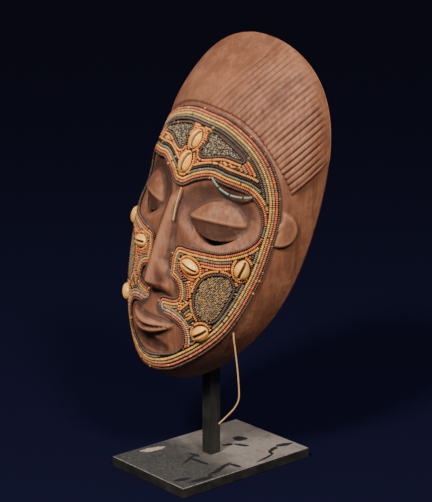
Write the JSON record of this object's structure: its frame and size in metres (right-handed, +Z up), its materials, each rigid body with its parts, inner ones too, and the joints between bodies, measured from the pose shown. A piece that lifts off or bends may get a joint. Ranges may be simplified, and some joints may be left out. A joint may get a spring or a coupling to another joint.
{
  "type": "tribal mask",
  "caption": "Carved wooden face mask with combed coiffure, beadwork border and cowrie shells, leaning back on a square post and a flat base plate.",
  "frame": {"origin": "centre of the base plate's underside", "axes": "+Z up, the face looks along -Y, +X to the viewer's right"},
  "size_m": [0.2126, 0.165, 0.4292],
  "materials": {
    "wood": "satin, dusty",
    "beads": "gloss",
    "seed_beads": "gloss",
    "shell": "gloss",
    "thread": "matte",
    "painted_steel": "satin"
  },
  "bodies": {
    "root": {"carved_mask": "wood", "border_beads": "beads", "face_beads": "beads", "cheek_seed_beads_right": "seed_beads", "cheek_seed_beads_left": "seed_beads", "forehead_seed_beads_right": "seed_beads", "forehead_seed_beads_left": "seed_beads", "cowrie_forehead_upper": "shell", "cowrie_forehead_lower": "shell", "cowrie_inner_cheek_right": "shell", "cowrie_inner_cheek_left": "shell", "cowrie_outer_cheek_right": "shell", "cowrie_outer_cheek_left": "shell", "cowrie_lower_cheek_right": "shell", "cowrie_lower_cheek_left": "shell", "loose_bead_string": "beads", "brow_thread": "thread", "hanging_thread": "thread", "post": "painted_steel", "base_plate": "painted_steel"}
  },
  "joints": []
}
